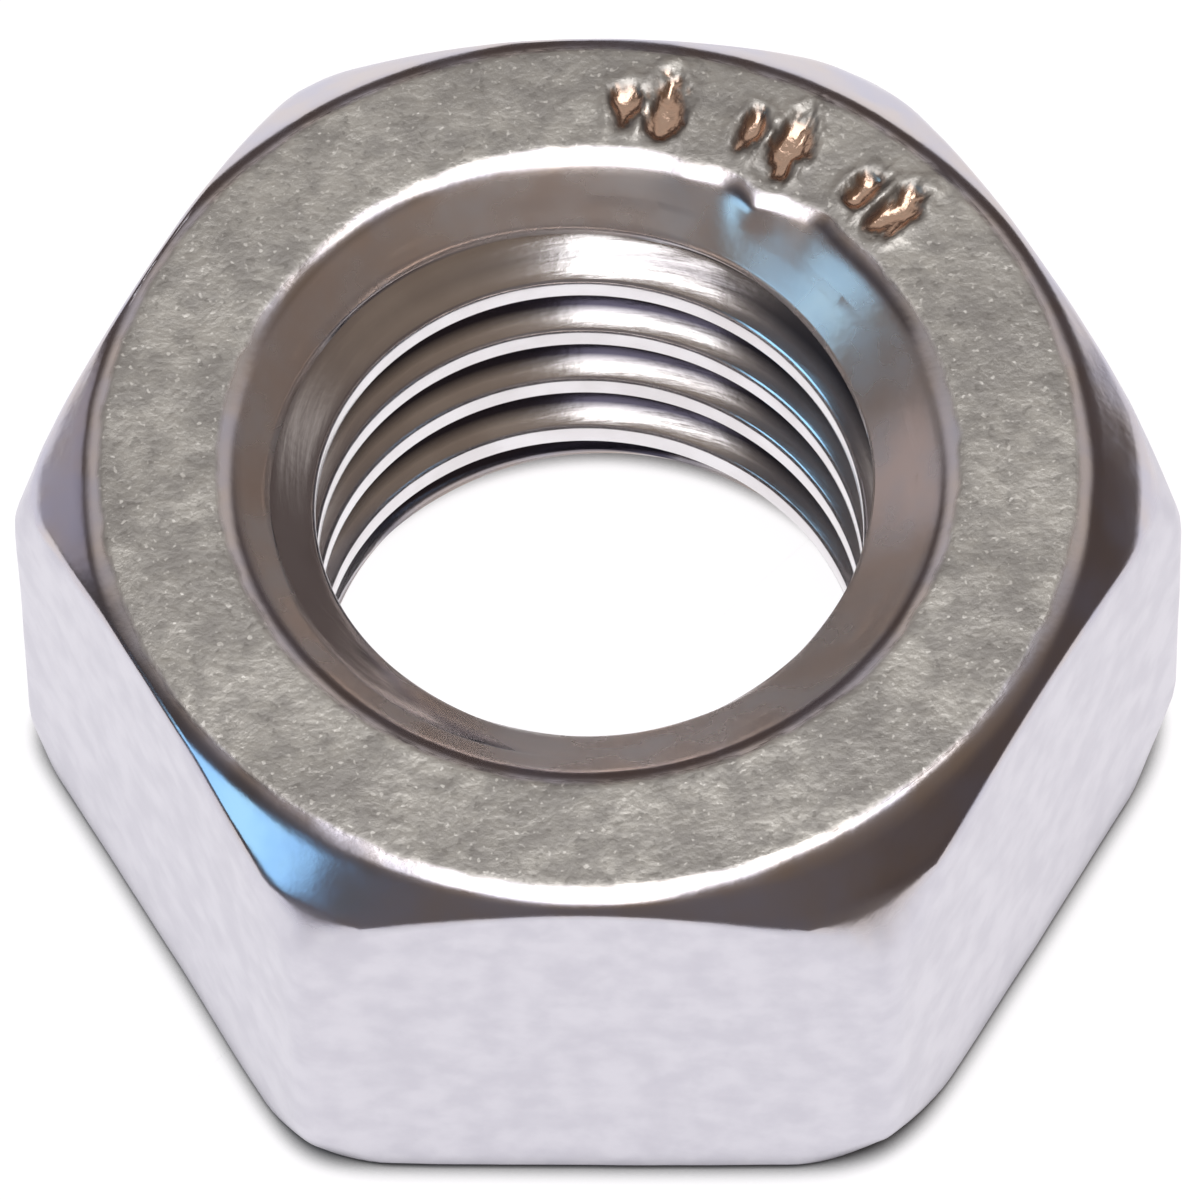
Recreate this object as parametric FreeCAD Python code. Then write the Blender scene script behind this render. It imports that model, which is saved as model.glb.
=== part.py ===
import FreeCAD, Part
import math
import os
from itertools import chain

# A cold-forged M12 hex nut, drawn in millimetres.
# The origin is the centre of the lower bearing face and +Z runs along the thread axis.
# One wrench flat faces -Y, so the across-corners direction is X.

V = FreeCAD.Vector
Z_AXIS = V(0, 0, 1)
ORIGIN = V(0, 0, 0)

# Body
ACROSS_FLATS = 19.0
HEIGHT = 9.8
CORNER_RADIUS = 0.35

# Upper end: a turned face and chamfer, with a steeper shoulder at the corners
FACE_DIAMETER = 18.5
CHAMFER_ANGLE = 41.0
SHOULDER_DIAMETER = 20.6
SHOULDER_ANGLE = 59.0
FACE_EDGE_RADIUS = 0.8

# Lower end: only the six corners are chamfered
LOWER_FACE_DIAMETER = 20.8
LOWER_CHAMFER_ANGLE = 60.0

# Thread
MAJOR_DIAMETER = 12.0
MINOR_DIAMETER = 10.2
PITCH = 1.75
FLANK_ANGLE = 30.0
GROOVE_HEIGHT_AT_X = -0.72

# Countersinks
COUNTERSINK_DIAMETER = 13.4
COUNTERSINK_ANGLE = 39.5
LIP_RADIUS = 0.65

# Stamped marks in the upper face: a long and a short lozenge at each place
MARK_ANGLES = (79.0, 61.0, 43.0)
MARK_RADIUS = 7.8
MARK_DEPTH = 0.15
MARK_FLOOR_SHARE = 0.15
LONG_LENGTH = 1.6
LONG_WIDTH = 0.8
SHORT_LENGTH = 1.0
SHORT_WIDTH = 0.7
SHORT_OFFSET = 0.75

MINOR_RADIUS = MINOR_DIAMETER / 2
MAJOR_RADIUS = MAJOR_DIAMETER / 2
COUNTERSINK_RADIUS = COUNTERSINK_DIAMETER / 2

# The bore and its groove are cut in equal sectors, and cutters run past the body
SECTORS = 6
OVERRUN = 1.0
OUTSIDE_RADIUS = ACROSS_FLATS / 2 + 2 * OVERRUN


def polar(radius, angle, z=0.0):
    """Point at a radius and an angle in degrees around the thread axis."""
    turn = math.radians(angle)
    return V(radius * math.cos(turn), radius * math.sin(turn), z)


def round_corner(before, corner, after, radius):
    """Tangent arc of the given radius that rounds a corner of a section outline."""
    to_before = (before - corner).normalize()
    to_after = (after - corner).normalize()
    half_angle = to_before.getAngle(to_after) / 2
    setback = radius / math.tan(half_angle)
    reach = radius / math.sin(half_angle)
    inward = (to_before + to_after).normalize()
    start = corner + to_before * setback
    end = corner + to_after * setback
    middle = corner + inward * (reach - radius)
    return Part.Arc(start, middle, end)


def hex_prism():
    """Hexagonal bar with slightly rounded corners, taller than the nut at both ends."""
    corner_reach = ACROSS_FLATS / 2 / math.cos(math.radians(30))
    corners = [polar(corner_reach, 60 * k, -OVERRUN) for k in range(7)]
    section = Part.Face(Part.makePolygon(corners))
    bar = section.extrude(Z_AXIS * (HEIGHT + 2 * OVERRUN))
    upright = [e for e in bar.Edges if abs(e.tangentAt(e.FirstParameter).z) > 0.99]
    return bar.makeFillet(CORNER_RADIUS, upright)


def end_outline(face_z, outward, face_radius, chamfer_angle):
    """Section outline of one end: countersink cone, rounded lip, flat face, rounded edge, chamfer.

    The outline runs from the thread axis side to the outside. Outward is +1 for the upper end
    and -1 for the lower end.
    """
    throat_radius = MINOR_RADIUS - OVERRUN
    throat_depth = (COUNTERSINK_RADIUS - throat_radius) * math.tan(math.radians(COUNTERSINK_ANGLE))
    chamfer_depth = (OUTSIDE_RADIUS - face_radius) * math.tan(math.radians(chamfer_angle))
    throat = V(throat_radius, 0, face_z - outward * throat_depth)
    lip = V(COUNTERSINK_RADIUS, 0, face_z)
    edge = V(face_radius, 0, face_z)
    outside = V(OUTSIDE_RADIUS, 0, face_z - outward * chamfer_depth)
    lip_arc = round_corner(throat, lip, edge, LIP_RADIUS)
    edge_arc = round_corner(lip, edge, outside, FACE_EDGE_RADIUS)
    return [
        Part.LineSegment(throat, lip_arc.StartPoint),
        lip_arc,
        Part.LineSegment(lip_arc.EndPoint, edge_arc.StartPoint),
        edge_arc,
        Part.LineSegment(edge_arc.EndPoint, outside),
    ]


def with_shoulder(outline):
    """The upper outline with its chamfer falling more steeply outside the shoulder diameter."""
    chamfer = outline[-1]
    run = SHOULDER_DIAMETER / 2 - chamfer.StartPoint.x
    steep_run = OUTSIDE_RADIUS - SHOULDER_DIAMETER / 2
    drop = V(run, 0, -run * math.tan(math.radians(CHAMFER_ANGLE)))
    steep_drop = V(steep_run, 0, -steep_run * math.tan(math.radians(SHOULDER_ANGLE)))
    shoulder = chamfer.StartPoint + drop
    steep = Part.LineSegment(shoulder, shoulder + steep_drop)
    return outline[:-1] + [Part.LineSegment(chamfer.StartPoint, shoulder), steep]


def turned_ring():
    """Ring whose two ends carry every turned feature of the nut."""
    upper = with_shoulder(end_outline(HEIGHT, 1, FACE_DIAMETER / 2, CHAMFER_ANGLE))
    lower = end_outline(0.0, -1, LOWER_FACE_DIAMETER / 2, LOWER_CHAMFER_ANGLE)
    inner_wall = Part.LineSegment(lower[0].StartPoint, upper[0].StartPoint)
    outer_wall = Part.LineSegment(upper[-1].EndPoint, lower[-1].EndPoint)
    outline = [inner_wall] + upper + [outer_wall] + lower
    edges = Part.__sortEdges__([curve.toShape() for curve in outline])
    return Part.Face(Part.Wire(edges)).revolve(ORIGIN, Z_AXIS, 360)


def bore_sectors():
    """The bore as equal wedges of one cylinder, so its wall is left as separate sector faces."""
    sweep = 360 / SECTORS
    base = V(0, 0, -OVERRUN)
    for k in range(SECTORS):
        wedge = Part.makeCylinder(MINOR_RADIUS, HEIGHT + 2 * OVERRUN, base, Z_AXIS, sweep)
        wedge.rotate(ORIGIN, Z_AXIS, k * sweep)
        yield wedge


def groove_segment():
    """One sector of the trapezoid thread groove, starting on the X axis at height zero."""
    inner_radius = MINOR_RADIUS - 0.3
    root_half_width = PITCH / 16
    flank_rise = (MAJOR_RADIUS - inner_radius) * math.tan(math.radians(FLANK_ANGLE))
    mouth_half_width = root_half_width + flank_rise
    corners = [
        V(inner_radius, 0, -mouth_half_width),
        V(MAJOR_RADIUS, 0, -root_half_width),
        V(MAJOR_RADIUS, 0, root_half_width),
        V(inner_radius, 0, mouth_half_width),
    ]
    section = Part.makePolygon(corners + [corners[0]])
    path = Part.makeHelix(PITCH, PITCH / SECTORS, MINOR_RADIUS)
    return Part.Wire(path.Edges).makePipeShell([section], True, True)


def thread_groove():
    """Right-hand helical groove as a run of equal segments, out through both countersinks."""
    segment = groove_segment()
    rise = PITCH / SECTORS
    first = math.floor((-PITCH - GROOVE_HEIGHT_AT_X) / rise)
    last = math.ceil((HEIGHT + PITCH - GROOVE_HEIGHT_AT_X) / rise)
    for k in range(first, last):
        piece = segment.copy()
        piece.rotate(ORIGIN, Z_AXIS, k * 360 / SECTORS)
        piece.translate(V(0, 0, GROOVE_HEIGHT_AT_X + k * rise))
        yield piece


def lozenge_outline(length, width, share, z):
    """Lozenge along X at one height, drawn at a share of its full size."""
    corners = [
        V(-share * length / 2, 0, z),
        V(0, -share * width / 2, z),
        V(share * length / 2, 0, z),
        V(0, share * width / 2, z),
    ]
    return Part.makePolygon(corners + [corners[0]])


def lozenge_punch(length, width):
    """Blunt four-sided pyramid that reaches its full size where it passes the upper face."""
    above = MARK_DEPTH / 2
    top_share = 1 + (1 - MARK_FLOOR_SHARE) * above / MARK_DEPTH
    floor = lozenge_outline(length, width, MARK_FLOOR_SHARE, HEIGHT - MARK_DEPTH)
    mouth = lozenge_outline(length, width, top_share, HEIGHT + above)
    return Part.makeLoft([floor, mouth], True, True)


def stamped_marks():
    """Plain punch marks in the upper face, each pointing out from the thread axis."""
    long_punch = lozenge_punch(LONG_LENGTH, LONG_WIDTH)
    short_punch = lozenge_punch(SHORT_LENGTH, SHORT_WIDTH)
    short_punch.translate(V(0, SHORT_OFFSET, 0))
    for angle in MARK_ANGLES:
        for punch in (long_punch, short_punch):
            mark = punch.copy()
            mark.translate(V(MARK_RADIUS, 0, 0))
            mark.rotate(ORIGIN, Z_AXIS, angle)
            yield mark


def nut_body():
    """The finished nut as one solid."""
    body = hex_prism().common(turned_ring()).Solids[0]
    for tool in chain(bore_sectors(), thread_groove(), stamped_marks()):
        body = body.cut(tool).Solids[0]
    return body


PARTS = {"nut_body": nut_body}

os.makedirs("parts", exist_ok=True)
for name, build in PARTS.items():
    build().exportStep(f"parts/{name}.step")
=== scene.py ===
import math

import bpy
import numpy as np
from mathutils import Matrix, Vector, noise


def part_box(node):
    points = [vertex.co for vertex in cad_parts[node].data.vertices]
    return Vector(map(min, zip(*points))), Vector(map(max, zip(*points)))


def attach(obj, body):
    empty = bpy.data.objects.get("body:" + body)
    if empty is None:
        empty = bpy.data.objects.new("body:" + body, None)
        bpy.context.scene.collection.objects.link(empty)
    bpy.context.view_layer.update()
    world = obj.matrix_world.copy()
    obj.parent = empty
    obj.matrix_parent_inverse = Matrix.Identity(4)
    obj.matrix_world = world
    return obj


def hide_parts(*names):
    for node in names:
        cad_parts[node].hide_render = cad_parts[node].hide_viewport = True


# A cold-forged M12 hex nut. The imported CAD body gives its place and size; this script gives it
# the surface of the real thing: a rounded and slightly uneven forging, a cut thread, blunt punch
# marks and a finish for each kind of surface, all on one piece of steel.

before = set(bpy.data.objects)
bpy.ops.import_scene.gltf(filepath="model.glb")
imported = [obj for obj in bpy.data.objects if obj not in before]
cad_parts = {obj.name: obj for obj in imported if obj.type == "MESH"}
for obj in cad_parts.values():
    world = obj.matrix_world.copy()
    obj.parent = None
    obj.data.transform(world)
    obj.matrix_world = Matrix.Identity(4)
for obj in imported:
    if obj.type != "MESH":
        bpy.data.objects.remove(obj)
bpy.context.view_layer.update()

MM = 0.001
CAD_NODE = "nut_body"
cad_low, cad_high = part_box(CAD_NODE)

# Sizes in millimetres, the same as the CAD body's
ACROSS_FLATS = (cad_high.y - cad_low.y) / MM
HEIGHT = (cad_high.z - cad_low.z) / MM
FACE_RADIUS = 9.25
CHAMFER_ANGLE = math.radians(41.0)
SHOULDER_RADIUS = 10.3
SHOULDER_ANGLE = math.radians(59.0)
LOWER_FACE_RADIUS = 10.4
LOWER_CHAMFER_ANGLE = math.radians(60.0)
MAJOR_RADIUS = 6.0
MINOR_RADIUS = 5.1
PITCH = 1.75
FLANK_ANGLE = math.radians(30.0)
GROOVE_HEIGHT_AT_X = -0.72
COUNTERSINK_RADIUS = 6.7
COUNTERSINK_SLOPE = math.tan(math.radians(39.5))

# The forged hexagon's centre, which lies a little off the thread axis
HEXAGON_X = 0.16
HEXAGON_Y = -0.08

# Softness of the real edges, in millimetres
LIP_ROUND = 0.19
FACE_EDGE_ROUND = 0.19
SHOULDER_ROUND = 0.05
FLAT_EDGE_ROUND = 0.1
LOWER_EDGE_ROUND = 0.25
CORNER_EDGE_ROUND = 0.3
CORNER_ROUND = 0.3
THREAD_ROUND = 0.08
CUT_ROUND = 0.08

# The outside mesh begins on the countersink at this depth, and the bore mesh ends there
BORE_END_DEPTH = 0.5
NEAR_BORE_END = 0.02
CORE_RADIUS = 7.9

# Mesh resolution. The outline's stretches run from the bore over the lip, the face, the chamfer,
# the shoulder and the wrench flat to the lower face and bore. The marked face has the most rows,
# and no stretch is shorter than the least one.
COLUMNS = 480
OUTLINE_ROWS = (8, 34, 8, 4, 11, 8, 12, 8)
GROOVE_ROWS = (2, 6, 3)
EASE = 0.6
LEAST_STRETCH = 0.12

# Punch marks: length, width and sideways offset of the lozenges at each of three places. The
# rims are ragged, and the marks fade out where they come near the countersink's lip.
MARK_ANGLES = (79.0, 61.0, 43.0)
MARK_RADIUS = 7.8
MARK_DEPTH = 0.15
MARK_FLOOR_SHARE = 0.15
MARK_BLUNTNESS = 1.8
MARK_RAGGEDNESS = 0.5
MARK_FADE = (COUNTERSINK_RADIUS + 0.25, COUNTERSINK_RADIUS + 0.6)
BURR_HEIGHT = 0.03
MARKS = (
    (1.6, 0.8, 0.0),
    (1.0, 0.7, 0.75),
)

# Where the stamping has pushed the lip of the countersink: angle, half width and amount
LIP_BULGES = (
    (61.0, 4.0, 0.22),
    (73.0, 4.0, 0.08),
    (50.0, 3.5, -0.12),
)

# Stage, in metres and radians. The glow is a share of paper white.
CAMERA_ELEVATION = math.radians(59.3)
CAMERA_AZIMUTH = math.radians(0.8)
CAMERA_ROLL = math.radians(-1.3)
CAMERA_DISTANCE = 0.304
CAMERA_LENS = 486
FLOOR_SIZE = 3.0
FLOOR_GLOW = 0.95
# Reach of the floor's painted contact shadow
CONTACT_REACH = 0.7 * MM
CARD_DISTANCE = 0.35
SOFTBOX_PLACE = (0, -0.04, 0.4)
SOFTBOX_TURN = math.radians(-20)

# Cards that the steel mirrors: name, direction, size, radiance and colour
CARDS = (
    ("blue_card", (-0.81, -0.34, 0.48), (0.19, 0.12), 1.9, (0.32, 0.68, 1.0)),
    ("side_card", (-0.83, 0.515, 0.2), (0.16, 0.10), 0.4, (0.9, 0.88, 1.0)),
)


# ---------------------------------------------------------------- shape of the forging

def rounded_join(a, b, radius):
    """Distance outside the solid common to two others, with the edge between them rounded."""
    over_a = np.maximum(a + radius, 0)
    over_b = np.maximum(b + radius, 0)
    return np.minimum(np.maximum(a, b), -radius) + np.hypot(over_a, over_b)


def hexagon_distance(r, theta):
    """Distance outside the hexagonal bar, which has corners on the X axis."""
    sixth = math.pi / 3
    from_centre = r - HEXAGON_X * np.cos(theta) - HEXAGON_Y * np.sin(theta)
    turn = np.mod(theta, sixth) - sixth / 2
    across = from_centre * np.cos(turn)
    along = np.abs(from_centre * np.sin(turn))
    own_flat = across - ACROSS_FLATS / 2
    next_flat = across * math.cos(sixth) + along * math.sin(sixth) - ACROSS_FLATS / 2
    return rounded_join(own_flat, next_flat, CORNER_ROUND)


def end_distance(r, beyond, face_radius, chamfer_angle):
    """Distance outside one countersunk and chamfered end, for heights beyond its face."""
    drop = COUNTERSINK_SLOPE * (COUNTERSINK_RADIUS - r)
    cone = (drop + beyond) / math.hypot(1, COUNTERSINK_SLOPE)
    chamfer = (r - face_radius) * math.sin(chamfer_angle) + beyond * math.cos(chamfer_angle)
    return rounded_join(rounded_join(beyond, cone, LIP_ROUND), chamfer, FACE_EDGE_ROUND)


def forging_distance(r, z, theta):
    """Distance outside the countersunk and chamfered blank, with soft edges."""
    upper = end_distance(r, z - HEIGHT, FACE_RADIUS, CHAMFER_ANGLE)
    lower = end_distance(r, -z, LOWER_FACE_RADIUS, LOWER_CHAMFER_ANGLE)
    outside = r - SHOULDER_RADIUS
    above = z - HEIGHT + (SHOULDER_RADIUS - FACE_RADIUS) * math.tan(CHAMFER_ANGLE)
    shoulder = outside * math.sin(SHOULDER_ANGLE) + above * math.cos(SHOULDER_ANGLE)
    ends = np.maximum(rounded_join(upper, shoulder, SHOULDER_ROUND), lower)
    near_corner = np.cos(3 * theta) ** 8
    flat_softness = np.where(z > HEIGHT / 2, FLAT_EDGE_ROUND, LOWER_EDGE_ROUND)
    softness = flat_softness + (CORNER_EDGE_ROUND - flat_softness) * near_corner
    return rounded_join(ends, hexagon_distance(r, theta), softness)


def halved(inside, low, high, rounds=30):
    """Largest share for which inside(share) holds, by halving between low and high."""
    for _ in range(rounds):
        middle = (low + high) / 2
        within = inside(middle)
        low = np.where(within, middle, low)
        high = np.where(within, high, middle)
    return low


def bar_radius(theta):
    """Radius of the hexagonal bar's outline at each angle."""
    half = ACROSS_FLATS / 2 + 0 * theta
    return halved(lambda r: hexagon_distance(r, theta) < 0, half * 0.9, half * 1.3)


# ---------------------------------------------------------------- mesh of the outside

def eased(count):
    """Steps from 0 to 1, closer together at both ends."""
    step = np.linspace(0, 1, count + 1)
    return step - EASE * np.sin(2 * math.pi * step) / (2 * math.pi)


def column_angles():
    """Angles of the mesh columns, closer together at the six corners and over the marks."""
    angle = np.linspace(0, 2 * math.pi, 7201)
    sixth = math.pi / 3
    from_corner = np.mod(angle + sixth / 2, sixth) - sixth / 2
    from_marks = angle - math.radians(MARK_ANGLES[1])
    closeness = 1 + 4 * np.exp(-(from_corner / math.radians(2.5)) ** 2)
    closeness += 1.8 * np.exp(-(from_marks / math.radians(30)) ** 4)
    count = np.concatenate([[0], np.cumsum(closeness[1:])])
    return np.interp(np.arange(COLUMNS) / COLUMNS, count / count[-1], angle)


def sharp_outline(theta):
    """The outside's (r, z) corners from the upper countersink to the lower, for each column."""
    reach = bar_radius(theta)
    level = 0 * theta
    countersink = [
        (level + COUNTERSINK_RADIUS - BORE_END_DEPTH / COUNTERSINK_SLOPE, level + BORE_END_DEPTH),
        (level + COUNTERSINK_RADIUS, level),
    ]
    shoulder = np.minimum(reach - LEAST_STRETCH, SHOULDER_RADIUS)
    shoulder_depth = (shoulder - FACE_RADIUS) * math.tan(CHAMFER_ANGLE)
    edge_depth = shoulder_depth + (reach - shoulder) * math.tan(SHOULDER_ANGLE)
    upper = countersink + [
        (level + FACE_RADIUS, level),
        (shoulder, shoulder_depth),
        (reach, edge_depth),
    ]
    lower_face = np.minimum(reach - LEAST_STRETCH, LOWER_FACE_RADIUS)
    lower_depth = (reach - lower_face) * math.tan(LOWER_CHAMFER_ANGLE)
    lower = [(reach, lower_depth), (lower_face, level)] + countersink[::-1]
    corners = [(r, HEIGHT - z) for r, z in upper] + lower
    return [np.stack(corner, axis=-1) for corner in corners]


def outside_grid(theta):
    """Radius and height of the rounded outside, one line per column and one place per row."""
    corners = sharp_outline(theta)
    rows = [corners[0][:, None, :]]
    for start, end, count in zip(corners, corners[1:], OUTLINE_ROWS):
        share = eased(count)[1:, None]
        rows.append(start[:, None, :] * (1 - share) + end[:, None, :] * share)
    core = np.array([CORE_RADIUS, HEIGHT / 2])
    ray = np.concatenate(rows, axis=1) - core

    def inside(share):
        point = core + ray * share[..., None]
        return forging_distance(point[..., 0], point[..., 1], theta[:, None]) < 0

    flat = np.ones(ray.shape[:2])
    point = core + ray * halved(inside, 0.3 * flat, 1.3 * flat)[..., None]
    return point[..., 0], point[..., 1]


# ---------------------------------------------------------------- mesh of the bore

def groove_places():
    """Places of the mesh rows from the middle of one ridge to the next, in pitches."""
    root = 1 / 16
    crest = root + (MAJOR_RADIUS - MINOR_RADIUS) * math.tan(FLANK_ANGLE) / PITCH
    ends = (0, root, crest, 0.5)
    half = [np.zeros(1)]
    for start, end, count in zip(ends, ends[1:], GROOVE_ROWS):
        half.append(start + (end - start) * eased(count)[1:])
    half = np.concatenate(half)
    return np.concatenate([-half[:0:-1], half[:-1]])


def soft_maximum(a, b, width):
    """The larger of two values, with a smooth change over where they are nearly equal."""
    closeness = np.maximum(width - np.abs(a - b), 0) / width
    return np.maximum(a, b) + closeness ** 2 * width / 4


def thread_radius(place):
    """Radius of the cut thread at a distance, in pitches, from the middle of a groove."""
    height = np.abs(np.mod(place + 0.5, 1.0) - 0.5) * PITCH
    shallower = soft_maximum((height - PITCH / 16) / math.tan(FLANK_ANGLE), 0, THREAD_ROUND)
    return soft_maximum(MAJOR_RADIUS - shallower, MINOR_RADIUS, THREAD_ROUND)


def cone_radius(z):
    """Radius of the nearer countersink at a height."""
    return COUNTERSINK_RADIUS - np.minimum(z, HEIGHT - z) / COUNTERSINK_SLOPE


def bore_grid(theta):
    """Radius and height of the threaded bore. The rows climb with the groove, one pitch a turn."""
    turns = math.ceil(HEIGHT / PITCH) + 2
    place = (np.arange(turns)[:, None] + groove_places()).ravel()
    z = GROOVE_HEIGHT_AT_X + PITCH * (theta[:, None] / (2 * math.pi) + place)
    z = np.where(z > HEIGHT - BORE_END_DEPTH - NEAR_BORE_END, HEIGHT - BORE_END_DEPTH, z)
    z = np.where(z < BORE_END_DEPTH + NEAR_BORE_END, BORE_END_DEPTH, z)
    cone = cone_radius(z)
    return soft_maximum(cone, thread_radius(place) + 0 * z, CUT_ROUND), z


# ---------------------------------------------------------------- the whole mesh

def strip_faces(index):
    """Faces of an index grid of columns and rows, without those that have collapsed."""
    corners = (index[:-1, :-1], index[:-1, 1:], index[1:, 1:], index[1:, :-1])
    for quad in np.stack(corners, axis=-1).reshape(-1, 4).tolist():
        face = list(dict.fromkeys(quad))
        if len(face) > 2:
            yield face


def nut_mesh():
    """Vertices in millimetres, faces, and a mark for each vertex that lies in the bore."""
    theta = column_angles()
    outside_r, outside_z = outside_grid(theta)
    outside = np.arange(outside_r.size).reshape(outside_r.shape)
    bore_r, bore_z = bore_grid(theta)
    bore = np.arange(bore_r.size).reshape(bore_r.shape) + outside_r.size
    bore = np.where(bore_z >= HEIGHT - BORE_END_DEPTH, outside[:, :1], bore)
    bore = np.where(bore_z <= BORE_END_DEPTH, outside[:, -1:], bore)

    # One turn round the axis, the outside rows meet themselves and the bore rows the next pitch
    pitch_rows = len(groove_places())
    outside_loop = np.vstack([outside, outside[:1]])
    bore_loop = np.vstack([bore[:, :-pitch_rows], bore[:1, pitch_rows:]])
    faces = list(strip_faces(outside_loop)) + list(strip_faces(bore_loop))

    r = np.concatenate([outside_r.ravel(), bore_r.ravel()])
    z = np.concatenate([outside_z.ravel(), bore_z.ravel()])
    turn = np.concatenate([np.repeat(theta, outside_r.shape[1]), np.repeat(theta, bore_r.shape[1])])
    points = np.stack([r * np.cos(turn), r * np.sin(turn), z], axis=-1)
    in_bore = np.arange(r.size) >= outside_r.size

    used = np.unique(np.concatenate([np.array(face) for face in faces]))
    place = np.zeros(r.size, int)
    place[used] = np.arange(used.size)
    faces = [[int(place[corner]) for corner in face] for face in faces]
    return points[used], faces, in_bore[used]


# ---------------------------------------------------------------- unevenness, marks, finish and painted groove shade

def smooth_step(low, high, value):
    """0 below low, 1 above high, and a smooth change between."""
    share = np.clip((value - low) / (high - low), 0, 1)
    return share * share * (3 - 2 * share)


def lumps(points, size, octaves=3):
    """Smooth random height, between about -1 and 1, with lumps of one size in millimetres."""
    return np.array([noise.fractal(Vector(point), 1.0, 2.0, octaves) for point in points / size])


def mark_height(points):
    """Height of the surface in and round the punch marks, 0 where they don't reach."""
    height = np.zeros(len(points))
    rough = lumps(points, 0.3)
    clear_of_lip = smooth_step(*MARK_FADE, np.hypot(points[:, 0], points[:, 1]))
    for angle in MARK_ANGLES:
        turn = math.radians(angle)
        outward = points[:, 0] * math.cos(turn) + points[:, 1] * math.sin(turn) - MARK_RADIUS
        sideways = points[:, 1] * math.cos(turn) - points[:, 0] * math.sin(turn)
        for length, width, offset in MARKS:
            along = np.abs(outward) / (length / 2)
            across = np.abs(sideways - offset) / (width / 2)
            rim = (along ** MARK_BLUNTNESS + across ** MARK_BLUNTNESS) ** (1 / MARK_BLUNTNESS)
            rim = rim + MARK_RAGGEDNESS * rough
            sunk = smooth_step(0, 1, (1.15 - rim) / (1 - MARK_FLOOR_SHARE))
            burr = np.exp(-((rim - 1.35) / 0.2) ** 2)
            height = height - MARK_DEPTH * sunk + BURR_HEIGHT * burr * (1 + rough)
    return height * clear_of_lip


def pushed_lip(points):
    """How far the stamping has pushed the countersink's lip towards the axis."""
    radius = np.hypot(points[:, 0], points[:, 1])
    angle = np.degrees(np.arctan2(points[:, 1], points[:, 0]))
    near_lip = np.exp(-((radius - COUNTERSINK_RADIUS) / 0.5) ** 2) * (points[:, 2] > HEIGHT * 0.8)
    push = np.zeros(len(points))
    for place, width, amount in LIP_BULGES:
        push += amount * near_lip * np.exp(-((angle - place) / width) ** 2)
    return push


def steel_body():
    """The nut's visible body, with the finish of each place and a painted groove shade stored on
    its vertices.
    """
    points, faces, in_bore = nut_mesh()
    mesh = bpy.data.meshes.new("hex_nut")
    mesh.from_pydata(points * MM, [], faces)
    normals = np.zeros(len(points) * 3)
    mesh.vertex_normals.foreach_get("vector", normals)
    normals = normals.reshape(-1, 3)

    tilt = np.degrees(np.arccos(np.clip(np.abs(normals[:, 2]), 0, 1)))
    ragged = lumps(points, 0.5)
    outside = 1.0 - in_bore
    face = outside * (1 - smooth_step(6, 15, tilt + 4 * ragged))
    flat = outside * smooth_step(56, 66, tilt + 4 * ragged)
    radius = np.hypot(points[:, 0], points[:, 1])
    past_cone = radius - cone_radius(points[:, 2])
    thread = in_bore * smooth_step(0.03, 0.1, past_cone)
    cone_end = HEIGHT - (COUNTERSINK_RADIUS - MINOR_RADIUS) * COUNTERSINK_SLOPE
    # Painted shade: the groove value lays a near-black colour in the deep roots of the thread
    # groove below the countersink, and on a thin line where the thread is cut into the countersink
    groove = thread * smooth_step(0.34, 0.44, radius - MINOR_RADIUS)
    groove *= smooth_step(cone_end, cone_end - PITCH / 2, points[:, 2])
    cut_edge_shade = in_bore * smooth_step(0.12, 0.06, past_cone)
    cut_edge_shade *= smooth_step(0.05, 0.15, radius - MINOR_RADIUS)
    groove = np.maximum(groove, cut_edge_shade)
    sink = smooth_step(7.6, 7.3, radius) * smooth_step(30, 36, tilt) * (1 - thread)

    marks = mark_height(points) * (points[:, 2] > HEIGHT - 0.3) * outside
    height = 0.02 * lumps(points, 3.0) * outside
    height += 0.008 * lumps(points, 0.7, 2) * face
    points = points + normals * height[:, None]
    points[:, 2] += marks
    points[:, :2] *= 1 - (pushed_lip(points) / radius)[:, None]
    mesh.vertices.foreach_set("co", (points * MM).astype(np.float32).ravel())
    mesh.update()

    stamp = smooth_step(0.02, 0.08, -marks)
    finishes_and_shade = {
        "face": face,
        "flat": flat,
        "sink": sink,
        "thread": thread,
        "groove": groove,
        "stamp": stamp,
    }
    for name, values in finishes_and_shade.items():
        stored = mesh.attributes.new(name, "FLOAT", "POINT")
        stored.data.foreach_set("value", values.astype(np.float32))
    mesh.shade_smooth()
    body = bpy.data.objects.new("hex_nut", mesh)
    bpy.context.scene.collection.objects.link(body)
    return body


# ---------------------------------------------------------------- shader nodes

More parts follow.
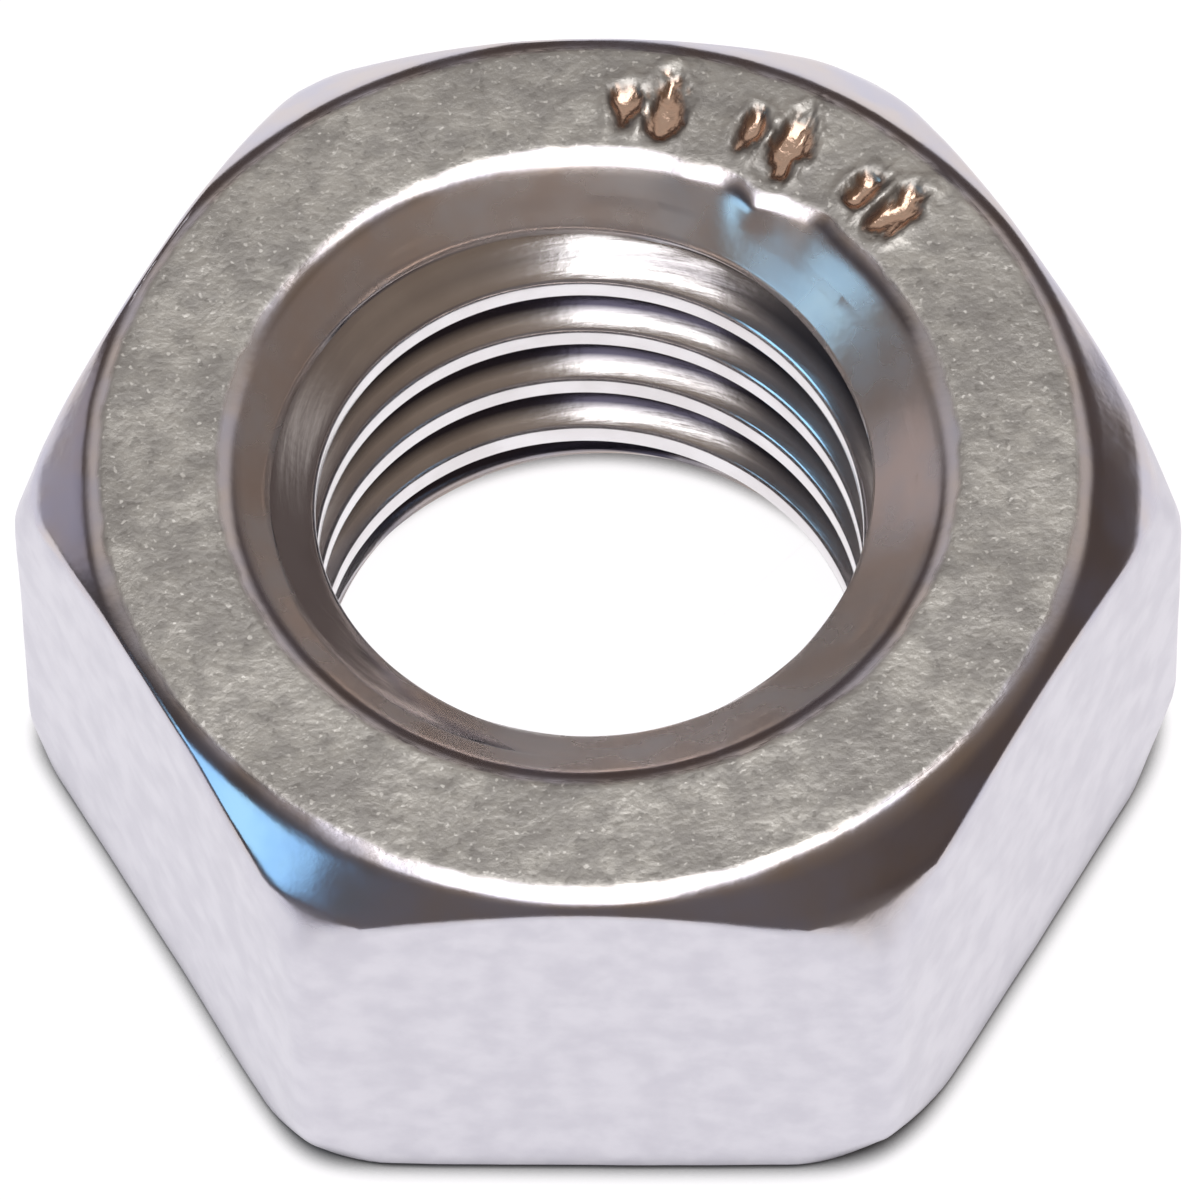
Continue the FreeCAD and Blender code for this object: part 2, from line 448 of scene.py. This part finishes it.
class Graph:
    """Short ways to add shader nodes to one tree and to join them."""

    def __init__(self, tree):
        self.tree = tree
        self.tree.nodes.clear()

    def node(self, kind, values=(), **settings):
        """Adds a node. Values are a number, a colour or another node's output for each socket."""
        made = self.tree.nodes.new(kind)
        for name, setting in settings.items():
            setattr(made, name, setting)
        for socket, value in dict(values).items():
            if isinstance(value, bpy.types.NodeSocket):
                self.tree.links.new(value, made.inputs[socket])
            else:
                made.inputs[socket].default_value = value
        return made

    def attribute(self, name):
        """A value stored on the mesh."""
        return self.node("ShaderNodeAttribute", attribute_name=name).outputs["Fac"]

    def noise(self, size, detail=2.0, stretch=(1, 1, 1)):
        """Random value about 0.5, with lumps of one size in millimetres."""
        place = self.node("ShaderNodeTexCoord").outputs["Object"]
        place = self.node("ShaderNodeMapping", {"Vector": place, "Scale": stretch}).outputs[0]
        values = {"Vector": place, "Scale": 1 / (size * MM), "Detail": detail}
        return self.node("ShaderNodeTexNoise", values).outputs["Fac"]

    def ramp(self, value, low, high, to_low=0.0, to_high=1.0):
        """The value stretched from one range to another, smoothly and held at its ends."""
        values = {0: value, 1: low, 2: high, 3: to_low, 4: to_high}
        made = self.node("ShaderNodeMapRange", values, interpolation_type="SMOOTHSTEP")
        return made.outputs[0]

    def math(self, operation, a, b=0.0, c=0.0):
        """One arithmetic step."""
        return self.node("ShaderNodeMath", {0: a, 1: b, 2: c}, operation=operation).outputs[0]

    def mix(self, share, a, b):
        """A number between a and b."""
        return self.node("ShaderNodeMix", {0: share, 2: a, 3: b}).outputs[0]

    def colour(self, share, a, b):
        """A colour between a and b."""
        made = self.node("ShaderNodeMix", {0: share}, data_type="RGBA")
        for socket, value in ((6, a), (7, b)):
            if isinstance(value, bpy.types.NodeSocket):
                self.tree.links.new(value, made.inputs[socket])
            else:
                made.inputs[socket].default_value = (*value, 1)
        return made.outputs[2]


def steel_material():
    """One steel with several kinds of finish and a painted groove shade, chosen by the values
    stored on the mesh.
    """
    material = bpy.data.materials.new("steel")
    material.use_nodes = True
    g = Graph(material.node_tree)
    face, flat = g.attribute("face"), g.attribute("flat")
    thread, groove = g.attribute("thread"), g.attribute("groove")
    stamp, sink = g.attribute("stamp"), g.attribute("sink")

    # Bearing face: dull mottled grey with bright grains and a few dark pits
    patch = g.ramp(g.noise(2.2, 2), 0.35, 0.65)
    blotch = g.ramp(g.noise(0.5, 5), 0.32, 0.68)
    specks = g.ramp(g.noise(0.14, 1), 0.64, 0.74)
    pits = g.ramp(g.noise(0.17, 1), 0.36, 0.28)
    face_colour = g.colour(blotch, (0.35, 0.335, 0.32), (0.54, 0.52, 0.49))
    face_colour = g.colour(g.math("MULTIPLY", patch, 0.6), face_colour, (0.31, 0.295, 0.285))
    face_colour = g.colour(g.math("MULTIPLY", specks, 0.6), face_colour, (0.84, 0.82, 0.79))
    face_colour = g.colour(g.math("MULTIPLY", pits, 0.3), face_colour, (0.14, 0.13, 0.12))

    # Turned chamfers: smooth, from brownish to bluish. Countersinks: a thin dull brown film
    cloud = g.ramp(g.noise(1.4, 3), 0.3, 0.7)
    turned_colour = g.colour(cloud, (0.62, 0.56, 0.55), (0.56, 0.545, 0.63))
    sink_colour = g.colour(cloud, (0.72, 0.59, 0.52), (0.68, 0.63, 0.62))

    # Forged wrench flats: pale and satin. Cut thread: bright, with painted shade, a near-black
    # colour, in the groove roots and along the cut into the countersink
    haze = g.ramp(g.noise(0.8, 4), 0.3, 0.7)
    flat_colour = g.colour(haze, (0.62, 0.605, 0.665), (0.70, 0.685, 0.74))
    thread_colour = g.colour(cloud, (0.74, 0.71, 0.72), (0.84, 0.82, 0.84))
    # Painted shade in the thread's groove roots and along its cut into the countersink
    thread_colour = g.colour(groove, thread_colour, (0.06, 0.055, 0.08))

    colour = g.colour(sink, turned_colour, sink_colour)
    colour = g.colour(face, colour, face_colour)
    colour = g.colour(flat, colour, flat_colour)
    colour = g.colour(thread, colour, thread_colour)
    colour = g.colour(stamp, colour, (0.62, 0.43, 0.33))

    roughness = g.mix(sink, g.mix(cloud, 0.16, 0.22), g.mix(cloud, 0.22, 0.32))
    roughness = g.mix(face, roughness, g.mix(blotch, 0.44, 0.34))
    roughness = g.mix(flat, roughness, 0.36)
    roughness = g.mix(thread, roughness, 0.18)
    roughness = g.mix(stamp, roughness, 0.2)

    # Relief in millimetres
    relief = g.math("MULTIPLY", g.noise(0.17, 3), g.mix(face, 0.002, 0.015))
    lines = g.noise(0.07, 2, stretch=(0.05, 0.05, 1))
    relief = g.math("MULTIPLY_ADD", lines, g.mix(thread, 0.0, 0.003), relief)
    bump = g.node("ShaderNodeBump", {"Height": relief, "Distance": MM, "Strength": 1.0})

    surface = g.node("ShaderNodeBsdfPrincipled", {
        "Base Color": colour,
        "Metallic": g.mix(sink, 1.0, 0.75),
        "Roughness": roughness,
        "Normal": bump.outputs[0],
    })
    g.node("ShaderNodeOutputMaterial", {"Surface": surface.outputs[0]})
    return material


# ---------------------------------------------------------------- floor, light and camera

def floor():
    """A pale floor that glows evenly like a light table, with a painted contact shadow: near the
    nut its emission is dimmed by ambient occlusion.
    """
    mesh = bpy.data.meshes.new("floor")
    side = FLOOR_SIZE
    corners = [(-side, -side, 0), (side, -side, 0), (side, side, 0), (-side, side, 0)]
    mesh.from_pydata(corners, [], [(0, 1, 2, 3)])
    plane = bpy.data.objects.new("floor", mesh)
    bpy.context.scene.collection.objects.link(plane)
    material = bpy.data.materials.new("floor")
    material.use_nodes = True
    g = Graph(material.node_tree)
    open_sky = g.node("ShaderNodeAmbientOcclusion", {"Distance": CONTACT_REACH}).outputs["AO"]
    # Painted contact shadow: the floor's emission fades where ambient occlusion finds the nut
    # within CONTACT_REACH
    glow = g.ramp(open_sky, 0.3, 0.8, 0.0, FLOOR_GLOW)
    surface = g.node("ShaderNodeBsdfPrincipled", {
        "Base Color": (0.16, 0.16, 0.16, 1),
        "Roughness": 0.9,
        "Emission Color": (1.0, 0.985, 1.0, 1),
        "Emission Strength": glow,
    })
    g.node("ShaderNodeOutputMaterial", {"Surface": surface.outputs[0]})
    mesh.materials.append(material)
    return plane


def sky():
    """Dim warm room for the steel to mirror, bright at the back and white to the camera."""
    world = bpy.data.worlds.new("room")
    bpy.context.scene.world = world
    world.use_nodes = True
    g = Graph(world.node_tree)
    direction = g.node("ShaderNodeTexCoord").outputs["Generated"]
    axis = g.node("ShaderNodeSeparateXYZ", {0: direction})
    high = g.ramp(axis.outputs["Z"], 0.4, 0.8)
    room = g.colour(high, (0.10, 0.08, 0.076), (0.20, 0.155, 0.12))
    left = g.ramp(axis.outputs["X"], -0.35, -0.55)
    room = g.colour(left, room, (0.07, 0.06, 0.06))
    forward = g.ramp(axis.outputs["Y"], -0.56, -0.70)
    not_overhead = g.ramp(axis.outputs["Z"], 0.78, 0.70)
    room = g.colour(g.math("MULTIPLY", forward, not_overhead), room, (0.16, 0.14, 0.137))
    wall = g.colour(g.ramp(axis.outputs["Z"], 0.70, 0.86), (0.66, 0.61, 0.57), (0.50, 0.49, 0.47))
    wall = g.colour(g.ramp(axis.outputs["Z"], 0.42, 0.66), (0.09, 0.07, 0.065), wall)
    room = g.colour(g.ramp(axis.outputs["Y"], 0.15, 0.45), room, wall)
    seen = g.node("ShaderNodeLightPath").outputs["Is Camera Ray"]
    background = g.node("ShaderNodeBackground", {"Color": g.colour(seen, room, (1.0, 1.0, 1.0))})
    g.node("ShaderNodeOutputWorld", {"Surface": background.outputs[0]})


def lamp(name, place, target, size, radiance, colour=(1, 1, 1)):
    """A rectangular studio light of a given brightness that faces a point."""
    data = bpy.data.lights.new(name, "AREA")
    data.shape = "RECTANGLE"
    data.size, data.size_y = size
    data.color = colour
    data.energy = radiance * math.pi * size[0] * size[1]
    light = bpy.data.objects.new(name, data)
    light.location = place
    back = Vector(place) - target
    light.rotation_euler = back.to_track_quat("Z", "Y").to_euler()
    light.visible_camera = False
    bpy.context.scene.collection.objects.link(light)
    return light


def camera(target):
    """A long lens that looks down at the nut from in front."""
    data = bpy.data.cameras.new("camera")
    data.lens = CAMERA_LENS
    data.clip_start, data.clip_end = 0.01, 10
    eye = bpy.data.objects.new("camera", data)
    bpy.context.scene.collection.objects.link(eye)
    level = math.cos(CAMERA_ELEVATION)
    back = Vector((
        math.sin(CAMERA_AZIMUTH) * level,
        -math.cos(CAMERA_AZIMUTH) * level,
        math.sin(CAMERA_ELEVATION),
    ))
    turn = back.to_track_quat("Z", "Y").to_matrix() @ Matrix.Rotation(CAMERA_ROLL, 3, "Z")
    eye.matrix_world = Matrix.Translation(target + back * CAMERA_DISTANCE) @ turn.to_4x4()
    bpy.context.scene.camera = eye


nut = steel_body()
nut.data.materials.append(steel_material())
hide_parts(CAD_NODE)
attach(nut, "root")

floor()
sky()
centre = Vector((HEXAGON_X * MM, HEXAGON_Y * MM, HEIGHT * MM / 2))
softbox = lamp("softbox", SOFTBOX_PLACE, centre, (0.22, 0.36), 3.0)
softbox.rotation_euler.rotate_axis("Z", SOFTBOX_TURN)
for name, place, size, radiance, colour in CARDS:
    lamp(name, Vector(place) * CARD_DISTANCE, centre, size, radiance, colour)
camera(centre)
bpy.context.scene.view_settings.view_transform = "Standard"
